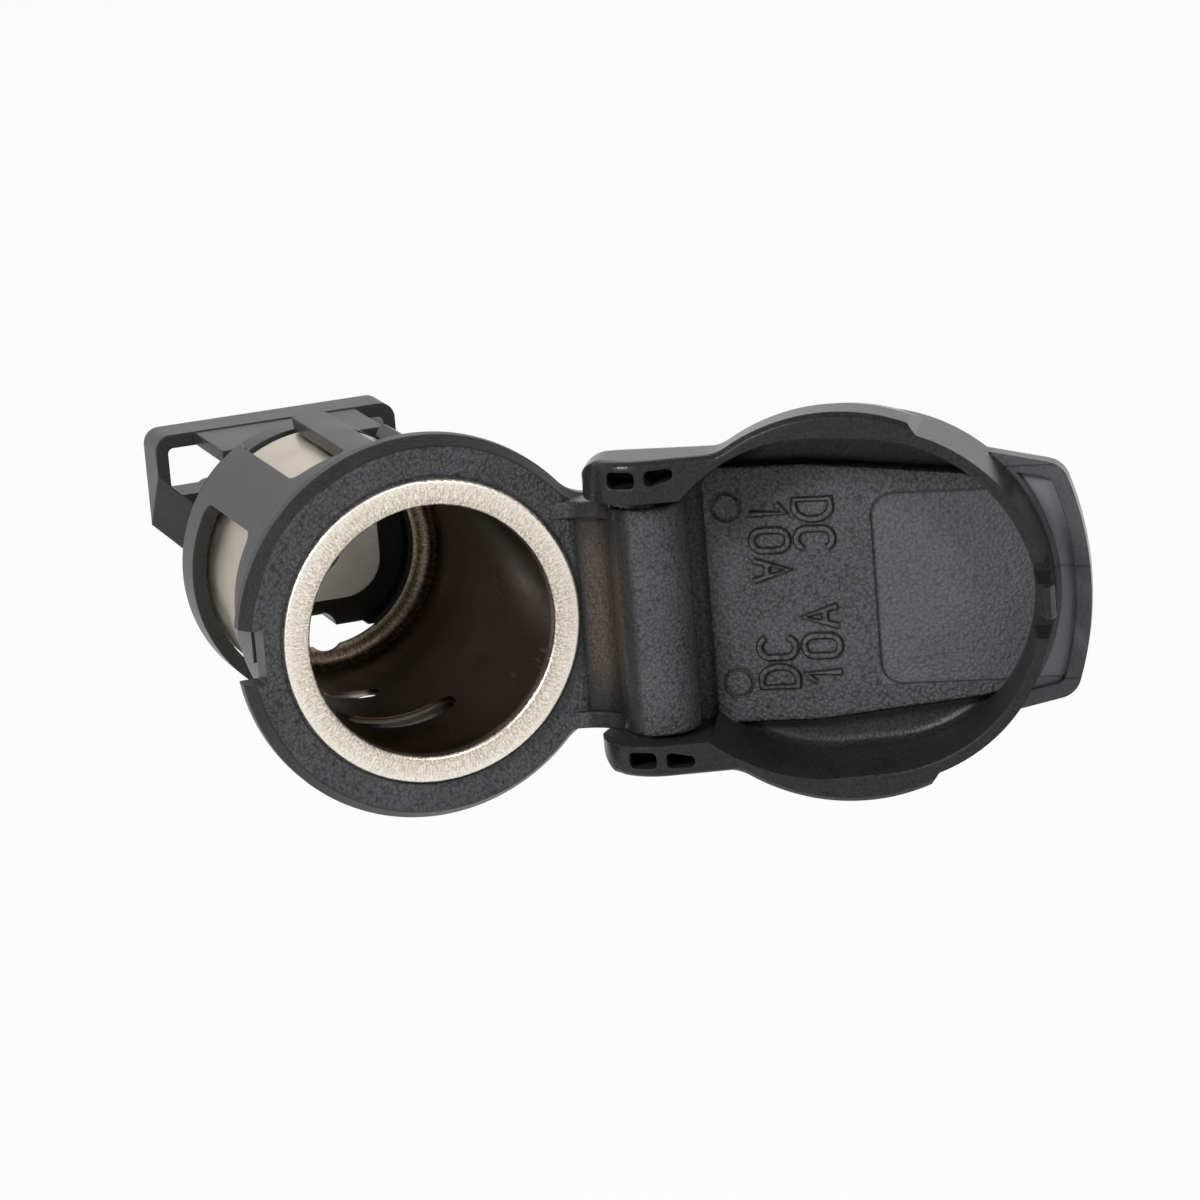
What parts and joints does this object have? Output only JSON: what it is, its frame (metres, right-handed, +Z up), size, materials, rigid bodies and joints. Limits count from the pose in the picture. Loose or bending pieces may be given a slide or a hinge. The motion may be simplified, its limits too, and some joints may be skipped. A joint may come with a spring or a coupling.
{
  "type": "vehicle power socket",
  "caption": "Round vehicle power socket: a steel barrel in a windowed plastic cage behind a front ring, with a hinged cup-shaped lid swung open and a framed plug connector at the rear.",
  "frame": {"origin": "centre of the barrel's mouth, on the front plane of its rolled lip", "axes": "+Y runs down the barrel away from the user, -Y out of the mouth, +X from the barrel's axis toward the hinge, +Z up along the hinge"},
  "size_m": [0.0677, 0.0774, 0.0326],
  "materials": {
    "black_plastic": "fine moulded grain, satin",
    "plated_steel": "dull nickel plate with fine turning marks",
    "contact_metal": "dull plate",
    "terminal_brass": "stamped, slightly dull",
    "pin_steel": "drawn wire"
  },
  "bodies": {
    "housing": {"bezel": "black_plastic", "cage": "black_plastic", "barrel": "plated_steel", "base": "black_plastic", "contact_plate": "contact_metal", "contact_rivet": "contact_metal", "centre_blade": "terminal_brass", "earth_blade": "terminal_brass", "hinge_pin": "pin_steel"},
    "lid": {"lid": "black_plastic"}
  },
  "joints": [
    {"name": "lid_hinge", "type": "hinge", "parent": "housing", "child": "lid", "pos_m": [0.0179, -0.0034, 0], "axis": [0, 0, -1], "range_deg": [0, 152.5]}
  ]
}
